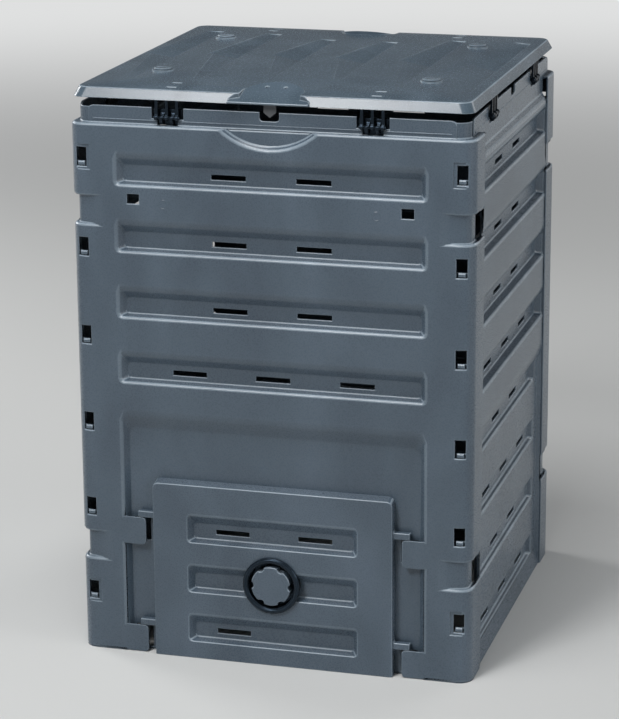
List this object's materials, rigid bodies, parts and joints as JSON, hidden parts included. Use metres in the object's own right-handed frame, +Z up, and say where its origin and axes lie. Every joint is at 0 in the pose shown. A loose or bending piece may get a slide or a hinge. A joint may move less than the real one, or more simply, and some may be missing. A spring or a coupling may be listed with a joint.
{
  "type": "compost bin with lid",
  "caption": "Square slatted garden compost bin of hooked plastic walls, with a lift-up fluted lid on clip hinges and a lift-off front hatch with a turning lock knob.",
  "frame": {"origin": "on the ground, at the bottom centre of the bin's bounding box", "axes": "+X to the right of the front wall, +Y from the hatch towards the rear wall, +Z up"},
  "size_m": [0.7, 0.715, 1.013],
  "materials": {
    "wall_plastic": "fine satin moulded surface",
    "lid_plastic": "fine satin moulded surface",
    "black_trim": "gloss",
    "tongue_plastic": "matt"
  },
  "bodies": {
    "bin": {"front_wall": "wall_plastic", "rear_wall": "wall_plastic", "right_wall": "wall_plastic", "left_wall": "wall_plastic", "hinge_clip_front_a": "black_trim", "hinge_clip_front_b": "black_trim", "hinge_clip_right_a": "black_trim", "hinge_clip_right_b": "black_trim", "hinge_clip_rear_a": "black_trim", "hinge_clip_rear_b": "black_trim", "hinge_clip_left_a": "black_trim", "hinge_clip_left_b": "black_trim"},
    "lid": {"lid": "lid_plastic", "hinge_bracket_front_a": "black_trim", "hinge_bracket_front_b": "black_trim", "hinge_bracket_right_a": "black_trim", "hinge_bracket_right_b": "black_trim", "hinge_bracket_rear_a": "black_trim", "hinge_bracket_rear_b": "black_trim", "hinge_bracket_left_a": "black_trim", "hinge_bracket_left_b": "black_trim", "hinge_rod_front_a": "black_trim", "hinge_rod_front_b": "black_trim", "hinge_rod_right_a": "black_trim", "hinge_rod_right_b": "black_trim", "hinge_rod_rear_a": "black_trim", "hinge_rod_rear_b": "black_trim", "hinge_rod_left_a": "black_trim", "hinge_rod_left_b": "black_trim", "latch_tongue_front": "tongue_plastic", "latch_tongue_rear": "tongue_plastic", "lid_plug_front_left": "lid_plastic", "lid_plug_front_right": "lid_plastic", "lid_plug_rear_left": "lid_plastic", "lid_plug_rear_right": "lid_plastic"},
    "hatch": {"hatch": "wall_plastic", "knob_collar": "black_trim"},
    "knob": {"hatch_knob": "wall_plastic", "knob_spindle": "black_trim", "lock_arm": "black_trim", "spindle_clip": "black_trim"}
  },
  "joints": [
    {"name": "lid_hinge", "type": "hinge", "parent": "bin", "child": "lid", "pos_m": [0, 0.3505, 0.957], "axis": [-1, 0, 0], "range_deg": [0, 150]},
    {"name": "hatch_lift", "type": "slide", "parent": "bin", "child": "hatch", "axis": [0, 0, 1], "range_m": [0, 0.085]},
    {"name": "knob_turn", "type": "hinge", "parent": "hatch", "child": "knob", "pos_m": [0, -0.3295, 0.149], "axis": [0, 1, 0], "range_deg": [0, 90]}
  ]
}
